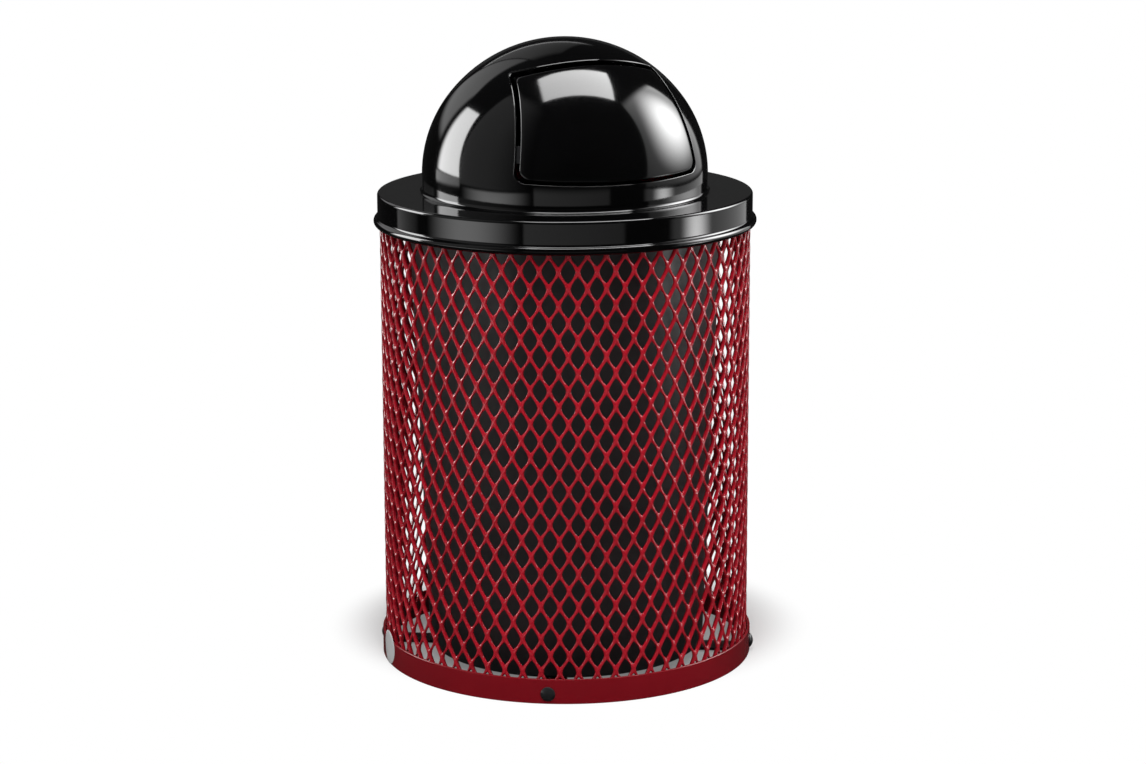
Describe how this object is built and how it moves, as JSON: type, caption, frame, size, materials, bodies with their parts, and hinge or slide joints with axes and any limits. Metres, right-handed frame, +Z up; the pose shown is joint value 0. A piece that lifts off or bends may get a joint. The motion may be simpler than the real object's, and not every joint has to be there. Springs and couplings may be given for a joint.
{
  "type": "waste receptacle",
  "caption": "Round outdoor waste receptacle: an expanded-steel can on base brackets, a lift-off dome lid with a spring-closed push door, and a removable plastic liner.",
  "frame": {"origin": "on the floor, at the can's vertical axis", "axes": "+Z up, the push door faces -Y, +X to the right as the door is faced"},
  "size_m": [0.58, 0.58, 0.9515],
  "materials": {
    "red_coat": "glossy thick powder coat",
    "black_gloss": "high-gloss powder coat",
    "black_steel": "semi-gloss black coat",
    "zinc_plate": "bright zinc plate",
    "spring_steel": "plain drawn wire",
    "glide_plastic": "moulded nylon",
    "liner_plastic": "satin rotomoulded polyethylene",
    "bumper_rubber": "matte rubber",
    "label_film": "satin film"
  },
  "bodies": {
    "can": {"mesh_panel_1": "red_coat", "mesh_panel_2": "red_coat", "mesh_panel_3": "red_coat", "mesh_panel_4": "red_coat", "mesh_panel_5": "red_coat", "mesh_panel_6": "red_coat", "mesh_panel_7": "red_coat", "mesh_panel_8": "red_coat", "mesh_panel_9": "red_coat", "bottom_band": "red_coat", "top_band": "red_coat", "bracket_1": "black_steel", "bracket_2": "black_steel", "bracket_3": "black_steel", "bracket_4": "black_steel", "carriage_bolts": "black_steel", "bolt_nuts": "zinc_plate", "glide_feet": "glide_plastic", "glide_nuts": "zinc_plate", "label_disc": "label_film"},
    "liner": {"liner": "liner_plastic"},
    "lid": {"lid_shell": "black_gloss", "hinge_bracket_left": "black_steel", "hinge_bracket_right": "black_steel", "hinge_rod": "zinc_plate", "rod_clips": "spring_steel", "spring_anchors": "spring_steel"},
    "door": {"door_panel": "black_gloss", "door_ear_left": "black_steel", "door_ear_right": "black_steel", "spring_left": "spring_steel", "spring_right": "spring_steel", "stop_tab_left": "black_steel", "stop_tab_right": "black_steel", "door_bumpers": "bumper_rubber"}
  },
  "joints": [
    {"name": "lid_lift", "type": "slide", "parent": "can", "child": "lid", "axis": [0, 0, 1], "range_m": [0, 1.45]},
    {"name": "liner_lift", "type": "slide", "parent": "can", "child": "liner", "axis": [0, 0, 1], "range_m": [0, 0.725]},
    {"name": "door_swing", "type": "hinge", "parent": "lid", "child": "door", "pos_m": [0, -0.052, 0.9005], "axis": [1, 0, 0], "range_deg": [0, 65], "stiffness_Nm_per_rad": 1.5, "springref_deg": -85.94}
  ],
  "couplings": [
    {"joint": "liner_lift", "follows": "lid_lift", "ratio": 0.5}
  ]
}
